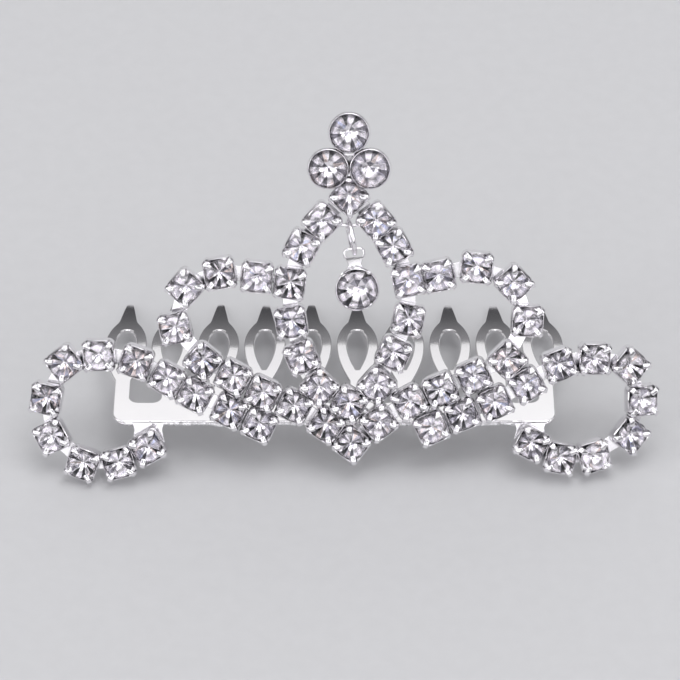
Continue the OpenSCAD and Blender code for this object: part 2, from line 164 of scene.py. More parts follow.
def even_normals(obj):
    """Lets the large faces set the normals, so that flat metal shades flat up to its rounded edges."""
    weighted = obj.modifiers.new("weighted", "WEIGHTED_NORMAL")
    weighted.keep_sharp = True


class Maker:
    """Collects parts, in millimetres in the crown's plane, and makes one piece of them."""

    def __init__(self):
        self.points, self.faces, self.slots, self.smooth, self.tones = [], [], [], [], []

    def add(self, points, faces, place=None, slot=0, smooth=True, tone=0.5):
        """Adds a part. Its slot and tone are one value, or a list with a value for each face."""
        start = len(self.points)
        place = place or Matrix.Identity(4)
        self.points += [place @ Vector(p) for p in points]
        self.faces += [[start + i for i in f] for f in faces]
        self.slots += slot if isinstance(slot, list) else [slot] * len(faces)
        self.smooth += [smooth] * len(faces)
        self.tones += tone if isinstance(tone, list) else [tone] * len(faces)

    def loft(self, loops, place=None, ring=False, slot=0):
        """Joins loops of equally many points, each going round counterclockwise as the loft advances."""
        n, rows = len(loops[0]), len(loops)
        points = [p for loop in loops for p in loop]
        faces = []
        for r in range(rows if ring else rows - 1):
            a, b = r * n, (r + 1) % rows * n
            faces += [[a + i, a + (i + 1) % n, b + (i + 1) % n, b + i] for i in range(n)]
        if not ring:
            faces.append(list(range(n - 1, -1, -1)))
            faces.append([(rows - 1) * n + i for i in range(n)])
        self.add(points, faces, place, slot)

    def piece(self, name, materials, body, slot, nodes=()):
        mesh = bpy.data.meshes.new(name)
        mesh.from_pydata([CROWN @ p for p in self.points], [], self.faces)
        for m in materials:
            mesh.materials.append(m)
        mesh.polygons.foreach_set("material_index", self.slots)
        mesh.polygons.foreach_set("use_smooth", self.smooth)
        tone = mesh.attributes.new("tone", "FLOAT", "FACE")
        tone.data.foreach_set("value", self.tones)
        mesh.validate()
        mesh.update()
        mesh.set_sharp_from_angle(angle=math.radians(SHARP_EDGE))
        obj = add_object(name, mesh)
        if any(self.smooth):
            even_normals(obj)
        settle(obj, body, nodes)


# Outlines and sections

CORNER_STEPS = 5
EDGE_STEPS = 2
SLOT_STEPS = 12
WIRE_STEPS = 16


def round_angles(steps):
    """Angles once round, without the last, which is the first again."""
    return np.linspace(0, 2 * math.pi, steps + 1)[:-1]


def circle(r, z, n, start=0.0):
    return [(r * math.cos(2 * math.pi * i / n + start), r * math.sin(2 * math.pi * i / n + start), z)
            for i in range(n)]


def rounded_square(half, reach, z):
    """Square outline with round corners that reach that far from the middle."""
    r = min(half * 0.9, max(0.02, (half * math.sqrt(2) - reach) / (math.sqrt(2) - 1)))
    points = []
    for q in range(4):
        for k in range(CORNER_STEPS + 1):
            a = math.radians(90 * q + 90 * k / CORNER_STEPS)
            c = half - r
            cx, cy = c * (1 if q in (0, 3) else -1), c * (1 if q in (0, 1) else -1)
            points.append((cx + r * math.cos(a), cy + r * math.sin(a), z))
    return points


def rounded_bar(w, t, r):
    """Cross-section of a flat bar, w wide and t thick, with its edges rounded."""
    r = min(r, t * 0.49, w * 0.49)
    points = []
    for q, (sx, sy) in enumerate([(1, 1), (-1, 1), (-1, -1), (1, -1)]):
        for k in range(EDGE_STEPS + 1):
            a = math.radians(90 * q + 90 * k / EDGE_STEPS)
            points.append((sx * (w / 2 - r) + r * math.cos(a), sy * (t / 2 - r) + r * math.sin(a)))
    return points


def slot_outline(w, h, z):
    """Outline of a slot with round ends."""
    points = []
    for side in (1, -1):
        for k in range(SLOT_STEPS + 1):
            a = math.radians(-90 + 180 * k / SLOT_STEPS + (0 if side > 0 else 180))
            points.append((side * (w - h) / 2 + h / 2 * math.cos(a), h / 2 * math.sin(a), z))
    return points


# Materials

class Tree:
    """The nodes of a material or of the world."""

    def __init__(self, tree):
        self.nodes, self.links = tree.nodes, tree.links

    def feed(self, socket, value):
        """Gives an input its value, or links it to another node's output."""
        if isinstance(value, bpy.types.NodeSocket):
            self.links.new(value, socket)
        else:
            socket.default_value = value

    def add(self, kind, **settings):
        """A new node. Each setting is one of the node's own, or goes to the input of that name."""
        made = self.nodes.new("ShaderNode" + kind)
        for key, value in settings.items():
            if hasattr(made, key):
                setattr(made, key, value)
            else:
                self.feed(made.inputs[key.replace("_", " ")], value)
        return made

    def noise(self, scale, detail, roughness=0.5, stretch=None):
        """Noise that is fixed to the object."""
        where = self.add("TexCoord").outputs["Object"]
        if stretch:
            where = self.add("Mapping", Scale=stretch, Vector=where).outputs["Vector"]
        made = self.add("TexNoise", Scale=scale, Detail=detail, Roughness=roughness, Vector=where)
        return made.outputs["Fac"]

    def tone(self):
        """The face's own tone, from 0 to 1."""
        return self.add("Attribute", attribute_name="tone").outputs["Fac"]

    def shade(self, value, stops, interpolation="LINEAR"):
        """Colour that a value has on a ramp of (place, colour) stops."""
        made = self.add("ValToRGB", Fac=value)
        while len(made.color_ramp.elements) < len(stops):
            made.color_ramp.elements.new(0.5)
        for element, (where, colour) in zip(made.color_ramp.elements, stops):
            element.position = where
            element.color = (*colour, 1)
        made.color_ramp.interpolation = interpolation
        return made.outputs["Color"]

    def spread(self, value, seen, wanted=(0.0, 1.0)):
        """The first range stretched to the second one, and held at its ends."""
        made = self.add("MapRange", Value=value, From_Min=seen[0], From_Max=seen[1],
                        To_Min=wanted[0], To_Max=wanted[1])
        return made.outputs["Result"]

    def mix(self, share, first, second, how="MIX"):
        made = self.add("Mix", data_type="RGBA", blend_type=how)
        for index, value in ((0, share), (6, first), (7, second)):
            self.feed(made.inputs[index], value)
        return made.outputs[2]

    def multiply(self, first, second):
        made = self.add("Math", operation="MULTIPLY")
        self.feed(made.inputs[0], first)
        self.feed(made.inputs[1], second)
        return made.outputs["Value"]


class Surface(Tree):
    """A material with one Principled shader."""

    def __init__(self, name, **values):
        self.material = bpy.data.materials.new(name)
        self.material.use_nodes = True
        super().__init__(self.material.node_tree)
        self.shader = self.nodes["Principled BSDF"]
        self.set(**values)

    def set(self, **values):
        for key, value in values.items():
            self.feed(self.shader.inputs[key.replace("_", " ")], value)

    def roughen(self, height, strength, depth):
        bump = self.add("Bump", Strength=strength, Distance=depth, Height=height)
        self.set(Normal=bump.outputs["Normal"])


def plating(name, light, dark, rough, grain, brush):
    """Bright silver plating: uneven polish, fine scratches, and painted shade that darkens its crevices.
    """
    made = Surface(name, Metallic=1.0)
    patches = made.noise(grain, 4.0, 0.6)
    polish = made.shade(patches, [(0.35, dark), (0.62, light)])
    # Painted shade: ambient occlusion darkens the base colour in crevices, corners and between parts.
    openness = made.add("AmbientOcclusion", samples=6, Distance=0.0007).outputs["AO"]
    painted_crevice_shade = made.shade(openness, [(0.25, (0.14, 0.14, 0.15)), (0.7, (1, 1, 1))])
    made.set(Base_Color=made.mix(1.0, polish, painted_crevice_shade, "MULTIPLY"),
             Roughness=made.spread(patches, (0.3, 0.7), rough))
    made.roughen(made.noise(6000.0, 2.0, stretch=brush), 0.06, 0.00003)
    return made.material


def glass():
    """Clear cut glass, faintly lilac, with a little wear of its polish."""
    made = Surface("cut_glass", Metallic=0.0, IOR=1.52, Transmission_Weight=1.0)
    tints = [(0.0, (0.96, 0.935, 0.985)), (0.5, (0.99, 0.97, 1.0)), (1.0, (0.98, 0.96, 0.99))]
    made.set(Base_Color=made.shade(made.tone(), tints),
             Roughness=made.spread(made.noise(900.0, 3.0), (0.55, 0.8), (0.0, 0.05)))
    return made.material


def satin_foil_painted_reflections():
    """Foil behind the glass, painted with reflected light and shade: low tones are painted dark, most
    others painted bright, and a few painted as warm or blue glints.
    """
    made = Surface("stone_foil_satin_painted_reflections", Metallic=1.0)
    shades = [(0.0, (0.03, 0.03, 0.035)), (0.1, (0.22, 0.215, 0.24)), (0.2, (0.58, 0.57, 0.62)),
              (0.29, (1.0, 0.985, 1.0)), (0.91, (0.88, 0.78, 0.73)), (0.945, (0.7, 0.74, 0.9)),
              (0.96, (1.0, 0.985, 1.0))]
    made.set(Base_Color=made.shade(made.tone(), shades, "CONSTANT"),
             Roughness=made.spread(made.noise(2500.0, 2.0), (0.0, 1.0), (0.17, 0.27)))
    return made.material


def solder():
    """Silvery solder with a lumpy, pitted skin."""
    made = Surface("solder_lumpy", Metallic=1.0)
    lumps = made.noise(1500.0, 5.0, 0.65)
    shades = [(0.38, (0.45, 0.44, 0.45)), (0.52, (0.85, 0.84, 0.86)), (0.66, (0.96, 0.95, 0.97))]
    made.set(Base_Color=made.shade(lumps, shades),
             Roughness=made.spread(lumps, (0.35, 0.65), (0.4, 0.15)))
    made.roughen(lumps, 0.8, 0.00015)
    return made.material


def floor_paper():
    """Pale paper."""
    made = Surface("floor_paper", Roughness=0.7)
    shades = [(0.3, (0.52, 0.52, 0.53)), (0.7, (0.535, 0.535, 0.545))]
    made.set(Base_Color=made.shade(made.noise(400.0, 3.0), shades))
    return made.material


SILVER = plating("silver_plating_bright", light=(0.94, 0.92, 0.945), dark=(0.85, 0.83, 0.86),
                 rough=(0.06, 0.2), grain=700.0, brush=(1, 1, 1))
COMB_SILVER = plating("comb_plating_bright", light=(0.96, 0.945, 0.955), dark=(0.92, 0.905, 0.92),
                      rough=(0.04, 0.09), grain=90.0, brush=(0.2, 1, 1))
SOLDER = solder()
GLASS = glass()
SATIN_FOIL_PAINTED_REFLECTIONS = satin_foil_painted_reflections()


# Stones

# Facets round a stone. Its table is a share of its radius, and the points of its star lie a share
# of the way from there out to its girdle. Its back slopes by this many degrees.
FOLD = 8
TABLE_SHARE = 0.58
STAR_SHARE = 0.52
GIRDLE_T = 0.05
BACK_SLOPE = 42

# Tones of the foil, which paint in reflected light and shade: the girdle, the painted dark and bright
# wedges of a back's star, and its flat point
GIRDLE_TONE = 0.6
PAINTED_SHADE_TONES = (0.02, 0.4)
PAINTED_HIGHLIGHT_TONES = (0.2, 1)
POINT_PAINTED_TONES = (0.12, 0.6)
TREFOIL_PAINTED_SHADE_TONES = {"top": (0.02, 0.33), "left": (0.04, 0.19), "right": (0.08, 0.36)}

# How far stones sit askew in their cups, in degrees
ASKEW = 1.6


def point_share(stone):
    """Share of a stone's radius at which its sloping back gives way to its flat point."""
    d, _, depth = stone
    return 1 - 2 * depth / d / math.tan(math.radians(BACK_SLOPE))


def stone_rows(stone):
    """A brilliant's corners, row by row from its table down to its flat point."""
    d, crown, depth = stone
    r = d / 2
    half_step = math.pi / FOLD
    table_r = r * TABLE_SHARE
    star_r = table_r + (r - table_r) * STAR_SHARE
    star_z = crown * (r - star_r * math.cos(half_step)) / (r - table_r)
    return [circle(table_r, crown, FOLD), circle(star_r, star_z, FOLD, half_step),
            circle(r, GIRDLE_T / 2, 2 * FOLD), circle(r, -GIRDLE_T / 2, 2 * FOLD),
            circle(r * point_share(stone), -depth, FOLD, half_step), [(0, 0, -depth)]]


def facets(i, starts):
    """The facets of one eighth of a brilliant: those of its glass crown and those of its back."""
    table, star, upper, lower, point, middle = starts
    after, before = (i + 1) % FOLD, (i - 1) % FOLD
    g0, g1, g2 = (upper + (2 * i + k) % (2 * FOLD) for k in range(3))
    h0, h1, h2 = (lower + (2 * i + k) % (2 * FOLD) for k in range(3))
    crown = [[table + i, star + i, table + after], [table + i, star + before, g0, star + i],
             [star + i, g0, g1], [star + i, g1, g2]]
    back = [[g0, h0, h1, g1], [g1, h1, h2, g2], [h0, point + i, h1], [h1, point + i, h2],
            [point + before, point + i, h0], [point + before, middle, point + i]]
    return crown, back


def brilliant(maker, stone, place, rng, dark=PAINTED_SHADE_TONES):
    """A foiled chaton: glass crown (slot 0) over a foiled back with a flat point (slot 1)."""
    rows = stone_rows(stone)
    starts = [sum(len(row) for row in rows[:k]) for k in range(len(rows))]
    faces, slots, tones = [list(range(FOLD))], [0], [rng.random()]
    for i in range(FOLD):
        crown, back = facets(i, starts)
        faces += crown + back
        slots += [0] * len(crown) + [1] * len(back)
        tones += [rng.random() for _ in crown]
        # Painted reflections: each wedge of the back gets a dark or bright foil tone that stands in for
        # reflected shade or light.
        tones += [GIRDLE_TONE, GIRDLE_TONE, rng.uniform(*dark), rng.uniform(*PAINTED_HIGHLIGHT_TONES),
                  rng.uniform(*PAINTED_HIGHLIGHT_TONES), rng.uniform(*POINT_PAINTED_TONES)]
    spin = Matrix.Rotation(rng.uniform(0, 2 * math.pi), 4, "Z")
    tilt = turned(rng.gauss(0, ASKEW), "X")
    maker.add([v for row in rows for v in row], faces, place @ spin @ tilt @ spin,
              slot=slots, smooth=False, tone=tones)


def strand_of_stones(name, strand):
    maker, rng = Maker(), random.Random(name)
    for place in strand:
        brilliant(maker, CUP_STONE, at(place) @ Matrix.Translation((0, 0, GIRDLE_Z)), rng)
    maker.piece(name + "_cut", [GLASS, SATIN_FOIL_PAINTED_REFLECTIONS], "tiara", "clear_glass", [name])


for strand_name, strand in STRANDS.items():
    strand_of_stones(strand_name, strand)


# Claw cups

# A cup's wall from its foot up over the rolled rim and down to its floor: how far in, and height
CUP_PROFILE = [
    (0.16, 0.0), (0.04, 0.05), (0.0, 0.18), (0.0, 1.0), (0.0, CUP_H - 0.22), (0.03, CUP_H - 0.13),
    (0.17, CUP_H), (0.22, CUP_H - 0.03), (0.27, 1.0), (0.27, 0.52), (0.4, 0.45)]

# Above this height the wall dips by this much at its corners
RIM_FROM = 1.2
CORNER_DIP = 0.55

# A claw from its foot up and in over the stone: distance from the cup's middle and height, then
# its width at each of these places
CLAW_PATH = [
    (2.80, 0.40), (2.89, 1.20), (2.96, 2.05), (2.97, 2.45), (2.82, 2.79), (2.52, 2.94),
    (2.42, 2.95), (1.80, 2.85), (1.68, 2.83), (1.57, 2.79)]
CLAW_WIDTH = [0.80, 0.82, 0.82, 0.82, 0.80, 0.79, 0.78, 0.75, 0.73, 0.62]
CLAW_TURNS = (45, 135, 225, 315)
CLAW_T = 0.27
CLAW_TIP_T = 0.6 * CLAW_T
CLAW_EDGE_R = 0.09

# The peak cup has no claw in a direction whose sine is above this, where the trefoil's foot stands
CLAW_FREE = 0.7


def claw(maker, place, turn, rng):
    """One corner claw, bent a little differently from the others."""
    loops = []
    sway = 3 * rng.uniform(-0.06, 0.06)
    rise = rng.uniform(-0.05, 0.04)
    last = len(CLAW_PATH) - 1
    for i, ((reach, z), w) in enumerate(zip(CLAW_PATH, CLAW_WIDTH)):
        along = Vector(CLAW_PATH[min(last, i + 1)]) - Vector(CLAW_PATH[max(0, i - 1)])
        along.normalize()
        far = i / last
        section = rounded_bar(w, CLAW_TIP_T if i == last else CLAW_T, CLAW_EDGE_R)
        loops.append([(reach + along.y * v, u + sway * far, z - along.x * v + rise * far)
                      for u, v in section])
    maker.loft(loops, place @ turned(turn, "Z"))


def dipped(loop):
    """A rim's outline, lower at its corners, where the claws rise."""
    middle = CORNER_STEPS / 2
    nearness = [1 - abs(k % (CORNER_STEPS + 1) - middle) / middle for k in range(len(loop))]
    return [(x, y, z - CORNER_DIP * v ** 0.6) for (x, y, z), v in zip(loop, nearness)]


def cup(maker, place, turns, rng):
    """A pressed square cup and its claws."""
    loops = []
    for inset, z in CUP_PROFILE:
        loop = rounded_square(CUP_HALF - inset, CUP_REACH - inset, z)
        loops.append(dipped(loop) if z > RIM_FROM else loop)
    maker.loft(loops, place)
    for turn in turns:
        claw(maker, place, turn, rng)


# Links of the chains, and the bridges of solder between strands
STRIP_T = 0.3
STRIP_Z = 0.08
STRIP_EDGE_R = 0.08
STRIP_WAIST = 0.12
LINK_W = 2.6
BRIDGE_W = 1.5
BRIDGE_HUMP = 0.1
BRIDGE_REACH = 5.92
BLOB_SIZE = (0.75, 0.7, 0.5)
BLOB_Z = 0.6


def strip(maker, a, b, w, hump=0.0, slot=0):
    """Flat strip in the crown's back between two places, narrower in its middle."""
    mid = (a[0] + b[0]) / 2
    angle = bow_angle(mid)
    run, rise = (b[0] - a[0]) / math.cos(angle), b[1] - a[1]
    length = math.hypot(run, rise)
    place = (Matrix.Translation((mid, (a[1] + b[1]) / 2, -(bow(a[0]) + bow(b[0])) / 2))
             @ Matrix.Rotation(angle, 4, "Y") @ Matrix.Rotation(math.atan2(rise, run), 4, "Z"))
    loops = []
    steps = 8
    for k in range(steps + 1):
        s = length * k / steps - length / 2
        middle = math.cos(math.pi * s / length) ** 2
        z = STRIP_Z + STRIP_T / 2 + hump * middle
        section = rounded_bar(w * (1 - STRIP_WAIST * middle), STRIP_T, STRIP_EDGE_R)
        loops.append([(s, u, z + v) for u, v in section])
    maker.loft(loops, place, slot=slot)


def blob(maker, centre, radii, rng, slot=0):
    """A rounded, slightly uneven lump of solder."""
    loops = []
    rings, around = 8, 14
    phase = [rng.uniform(0, 6.28) for _ in range(3)]
    for i in range(1, rings):
        a = math.pi * i / rings
        loop = []
        for k in range(around):
            b = 2 * math.pi * k / around
            f = 1 + 0.09 * math.sin(2 * b + phase[0]) + 0.06 * math.sin(3 * b + phase[1] + a)
            loop.append((centre[0] + radii[0] * math.sin(a) * math.cos(b) * f,
                         centre[1] + radii[1] * math.sin(a) * math.sin(b) * f,
                         centre[2] - radii[2] * math.cos(a)))
        loops.append(loop)
    maker.loft(loops, slot=slot)


def cups(maker, rng):
    for place in CUPS:
        turns = CLAW_TURNS
        if place is PEAK:
            turns = [a for a in CLAW_TURNS if math.sin(math.radians(a + PEAK[2])) < CLAW_FREE]
        cup(maker, at(place), turns, rng)


def links(maker):
    for strand in STRANDS.values():
        for a, b in zip(strand, strand[1:]):
            strip(maker, a, b, LINK_W)
    arch = STRANDS["stones_centre_arch"]
    strip(maker, arch[-1], arch[0], LINK_W)


def bridges(maker, rng):
    """Solder between cups of different strands that stand side by side."""
    strands = list(STRANDS.values())
    for s, one in enumerate(strands):
        for other in strands[s + 1:]:
            for a in one:
                for b in other:
                    if math.hypot(a[0] - b[0], a[1] - b[1]) < BRIDGE_REACH:
                        bridge(maker, a, b, rng)


def bridge(maker, a, b, rng):
    strip(maker, a, b, BRIDGE_W, hump=BRIDGE_HUMP, slot=1)
    x, y = (a[0] + b[0]) / 2, (a[1] + b[1]) / 2
    blob(maker, (x, y, BLOB_Z - bow(x)), BLOB_SIZE, rng, slot=1)


# The comb's place behind the crown, the flat ends of the chains that are soldered to it, and the
# bar that the jump ring hangs on
COMB_UP = 8.6
PLATE_LAP = 0.4
PLATE_W = 5.0
PLATE_Z = 0.23
WAIST_W = 4.3
WAIST_SHARE = 0.7
BAR_D = 0.5
BAR_L = 4.4
BAR_Y = 39.3925
BAR_Z = 0.45


def end_plate(maker, place):
    """Flat end of the chain, widening to where it is soldered under the comb's band."""
    x, y, _ = place
    length = COMB_UP + PLATE_LAP - y
    foot_w = 2 * (CUP_REACH - 0.35)
    loops = []
    steps = 16
    for k in range(steps + 1):
        share = k / steps
        if share < WAIST_SHARE:
            width = WAIST_W + (foot_w - WAIST_W) * (1 - share / WAIST_SHARE) ** 1.5
        else:
            width = WAIST_W + (PLATE_W - WAIST_W) * ((share - WAIST_SHARE) / (1 - WAIST_SHARE)) ** 1.5
        section = rounded_bar(width, STRIP_T, STRIP_EDGE_R)
        loops.append([(u, length * share, PLATE_Z + v) for u, v in section][::-1])
    maker.loft(loops, on_crown(x, y))


def hanging_bar(maker):
    loops = []
    for x in np.linspace(-BAR_L / 2, BAR_L / 2, 7):
        loops.append([(x, BAR_D / 2 * math.cos(a), BAR_D / 2 * math.sin(a))
                      for a in round_angles(WIRE_STEPS)])
    maker.loft(loops, Matrix.Translation((PEAK[0], BAR_Y, BAR_Z)))


def cup_chains():
    maker, rng = Maker(), random.Random("cups")
    cups(maker, rng)
    links(maker)
    bridges(maker, rng)
    for name in ("stones_left_scroll", "stones_right_scroll"):
        end_plate(maker, STRANDS[name][0])
    hanging_bar(maker)
    maker.piece("cup_chain_metal", [SILVER, SOLDER], "tiara", "silver_plating", ["claw_frame"])


cup_chains()


# Bezels and trefoil

STONE_GAP = 0.1
BEZEL_WALL = 0.25
BEZEL_FLOOR = 0.35
BEZEL_LIP = 0.3
BEZEL_STEPS = 64

# Width of a bezel's back as a share of its rim's: a bowl on the trefoil, a cup on the drop
BOWL_SHARE = 0.5
CUP_SHARE = 0.93

# The trefoil's bezels lap a little where they are soldered together
TREFOIL_R = TREFOIL_STONE[0] / 2 + STONE_GAP + BEZEL_WALL
TREFOIL_HALF = TREFOIL_R - 0.04
TREFOIL_RISE = 2 * TREFOIL_HALF * math.sin(math.radians(60))
TREFOIL_LOW = 48.3264
TREFOIL_Z = 2.75
TREFOIL_SPOTS = {
    "top": (PEAK[0], TREFOIL_LOW + TREFOIL_RISE, TREFOIL_Z),
    "left": (PEAK[0] - TREFOIL_HALF, TREFOIL_LOW, TREFOIL_Z),
    "right": (PEAK[0] + TREFOIL_HALF, TREFOIL_LOW, TREFOIL_Z)}
TREFOIL_MIDDLE_Y = TREFOIL_LOW + TREFOIL_RISE / 3

# The web behind the three bezels, as radius and height, and the foot down to the peak cup
WEB_PROFILE = [(1.8, 0.5), (1.9, 0.6), (1.9, 1.4), (1.8, 1.5)]
WEB_STEPS = 48
FOOT_LOW = PEAK[1] + CUP_REACH + 0.1
FOOT_W = 1.6
FOOT_END_W = 1.3
FOOT_T = 1.0
FOOT_Z = 1.0


def bezel(maker, stone, place, back_share):
    """Setting round a stone whose girdle is at z = 0, its rim pressed in over the girdle."""
    r, depth = stone[0] / 2, stone[2]
    outer = r + STONE_GAP + BEZEL_WALL
    back = -depth - STONE_GAP - BEZEL_FLOOR
    foot = outer * back_share
    point_r = r * point_share(stone)
    profile = [(foot * 0.6, back), (foot - 0.16, back + 0.01), (foot - 0.04, back + 0.08)]
    for share in (0.9, 0.7, 0.45, 0.2, 0.0):
        profile.append((outer * (1 - (1 - back_share) * share ** 1.4),
                        -BEZEL_LIP + (back + BEZEL_LIP) * share))
    profile += [(outer - 0.09, 0.16), (outer - 0.15, 0.27), (outer - 0.2, BEZEL_LIP),
                (outer - 0.26, 0.25), (r + 0.04, 0.05), (r + 0.04, -0.1),
                (point_r + 0.06, -depth - 0.08), (0.2, -depth - 0.1)]
    maker.loft([circle(ring_r, z, BEZEL_STEPS) for ring_r, z in profile], place)


def trefoil_bezels():
    maker = Maker()
    for spot in TREFOIL_SPOTS.values():
        bezel(maker, TREFOIL_STONE, Matrix.Translation(spot), BOWL_SHARE)
    maker.loft([circle(r, z, WEB_STEPS) for r, z in WEB_PROFILE],
               Matrix.Translation((PEAK[0], TREFOIL_MIDDLE_Y, 0)))
    loops = []
    steps = 6
    for k in range(steps + 1):
        y = FOOT_LOW + (TREFOIL_MIDDLE_Y - FOOT_LOW) * k / steps
        section = rounded_bar(FOOT_W if k else FOOT_END_W, FOOT_T, 0.2)
        loops.append([(u, y, FOOT_Z + v) for u, v in section][::-1])
    maker.loft(loops, Matrix.Translation((PEAK[0], 0, 0)))
    maker.piece("trefoil_bezels", [SILVER], "tiara", "silver_plating", ["trefoil_setting"])


def trefoil_stones():
    for name, spot in TREFOIL_SPOTS.items():
        maker = Maker()
        brilliant(maker, TREFOIL_STONE, Matrix.Translation(spot),
                  random.Random("trefoil stone " + name), TREFOIL_PAINTED_SHADE_TONES[name])
        maker.piece("trefoil_stone_%s_cut" % name, [GLASS, SATIN_FOIL_PAINTED_REFLECTIONS], "tiara", "clear_glass",
                    ["trefoil_stone_" + name])


trefoil_bezels()
trefoil_stones()


# Jump ring and drop

# Radii of the ring and its wire, then, in degrees, its lean, its turn, its slit and the slit's place
RING_R = 2.5
WIRE_R = 0.375
RING_LEAN = 10
RING_YAW = 7
RING_SLIT = 4
SLIT_TURN = 60
HINGE_GAP = 0.1
RING_HANG = RING_R - WIRE_R - HINGE_GAP - BAR_D / 2

# The drop hangs on the ring at this spot, its stone this far below, and leans a little
PIVOT = (1.49835, 35.1824, BAR_Z)
DROP_LEAN = 5
DROP_HANG = 5.4
DROP_Z = 0.9
DROP_OUTER = DROP_STONE[0] / 2 + STONE_GAP + BEZEL_WALL

# The drop's flat plate: a slot for the ring, then a neck that widens to the bezel's back
PLATE_T = 0.45
HOLE_W = 2.6
HOLE_H = 1.15
HOLE_Y = WIRE_R + HINGE_GAP - HOLE_H / 2
RIM_W = 0.4
NECK_W = 2.0
SHOULDER_W = 4.6

# Four small nibs bent over the drop's bezel: directions in degrees; distance, height and width
NIB_TURNS = (-52, -128, 128, 52)
NIB_PATH = [
    (DROP_OUTER - 0.45, 0.05, 0.5), (DROP_OUTER - 0.42, 0.4, 0.5), (DROP_OUTER - 0.1, 0.42, 0.46),
    (DROP_OUTER + 0.1, 0.28, 0.4), (DROP_OUTER + 0.1, 0.0, 0.3)]
NIB_T = 0.1


def jump_ring():
    """A ring of round wire with a narrow slit."""
    maker = Maker()
    place = (Matrix.Translation((PEAK[0], BAR_Y, BAR_Z)) @ turned(RING_LEAN, "Z")
             @ Matrix.Translation((0, -RING_HANG, 0)) @ turned(90 + RING_YAW, "Y")
             @ turned(SLIT_TURN, "Z"))
    loops = []
    steps = 72
    for k in range(steps + 1):
        a = math.radians((360 - RING_SLIT) * k / steps)
        loops.append([((RING_R + WIRE_R * math.cos(b)) * math.cos(a),
                       (RING_R + WIRE_R * math.cos(b)) * math.sin(a), WIRE_R * math.sin(b))
                      for b in round_angles(WIRE_STEPS)][::-1])
    maker.loft(loops, place)
    maker.piece("jump_ring_wire", [SILVER], "ring", "silver_plating", ["jump_ring"])


def drop_eye(maker, pivot):
    """Flat rim round the slot that hangs on the ring."""
    h = PLATE_T / 2
    rows = [(0, -h + 0.08), (0.06, -h), (RIM_W - 0.1, -h), (RIM_W, -h + 0.1), (RIM_W, h - 0.1),
            (RIM_W - 0.1, h), (0.06, h), (0, h - 0.08)]
    loops = [slot_outline(HOLE_W + 2 * grow, HOLE_H + 2 * grow, z) for grow, z in rows]
    maker.loft(loops, pivot @ Matrix.Translation((0, HOLE_Y, 0)), ring=True)


def drop_neck(maker, pivot):
    """Plate from the eye down to the bezel, narrow in its middle."""
    top = HOLE_Y - HOLE_H / 2 + 0.02
    low = math.sqrt(DROP_OUTER ** 2 - SHOULDER_W ** 2 / 4) - DROP_HANG
    neck_y = (top + low) / 2
    shares = np.linspace(0, 1, 9)
    widths = [(top + (neck_y - top) * f, NECK_W + (HOLE_W + RIM_W - NECK_W) * (1 - f) ** 1.5)
              for f in shares]
    widths += [(neck_y + (low - neck_y) * f, NECK_W + (SHOULDER_W - NECK_W) * f ** 1.7)
               for f in shares[1:]]
    widths.append((low - 0.5, SHOULDER_W))
    maker.loft([[(u, y, v) for u, v in rounded_bar(width, PLATE_T, 0.12)] for y, width in widths],
               pivot)


def drop():
    maker = Maker()
    pivot = Matrix.Translation(PIVOT) @ turned(DROP_LEAN, "Z")
    centre = pivot @ Matrix.Translation((0, -DROP_HANG, DROP_Z))
    drop_eye(maker, pivot)
    drop_neck(maker, pivot)
    bezel(maker, DROP_STONE, centre, CUP_SHARE)
    nib = [[(x, -w / 2, z - NIB_T), (x, w / 2, z - NIB_T), (x, w / 2, z), (x, -w / 2, z)]
           for x, z, w in NIB_PATH]
    for turn in NIB_TURNS:
        maker.loft(nib, centre @ turned(turn, "Z"))
    maker.piece("drop_bezel", [SILVER], "drop", "silver_plating", ["drop_setting"])
    stone = Maker()
    brilliant(stone, DROP_STONE, centre, random.Random("drop"))
    stone.piece("drop_stone_cut", [GLASS, SATIN_FOIL_PAINTED_REFLECTIONS], "drop", "clear_glass", ["drop_stone"])


jump_ring()
drop()


# Comb: drawn flat, x across its band and p along its teeth, then bent to its arc

TEETH = 10
PITCH = 7.2
STEM_W = 2.4
STEM_END = 10.6
COMB_L = 35.2
COMB_W = (TEETH - 1) * PITCH + STEM_W
COMB_T = 0.7
COMB_EDGE_R = 0.2
BAND_L = 4.4
BAND_R = 1.8
GAP_R = 1.4
TIP_R = 0.75

# A tooth's loop is a leaf that tapers to the tip, with a leaf-shaped eye
LOOP_W = 6.5
LOOP_MID = 20.6
LOOP_FRONT_L = 13.4
LOOP_TIP_L = 9.8
LOOP_SIDE = 1.65
TAPER_FROM = LOOP_MID + 5.8
TAPER_HALF = 1.7
EYE_FRONT_L = 8.4
EYE_TIP_L = 5.2
EYE_ENDS = [(0.95, 3.6), (0.35, -7.5)]
EYE_MIDDLE = -1.65
EYE_HALF_L = 6.2
EYE_STEPS = 60

# The comb's slope, how far behind the crown it starts, its shift from the middle, and its arc
COMB_SLOPE = math.radians(18.7)
COMB_BACK = 1.3
COMB_SHIFT = -1.5
ARC_R = 100.0
ARC_MIDDLE = math.sqrt(ARC_R ** 2 - (COMB_L / 2) ** 2)


def leaf_half(half, front_l, tip_l, y):
    """Half width of a leaf shape, y from its widest place."""
    length = tip_l if y > 0 else front_l
    if abs(y) >= length:
        return 0.0
    r = (length ** 2 + half ** 2) / (2 * half)
    return half - r + math.sqrt(r * r - y * y)


def round_half(r, y):
    """Half width of a circle, y from its middle."""
    return math.sqrt(r * r - y * y) if abs(y) < r else 0.0


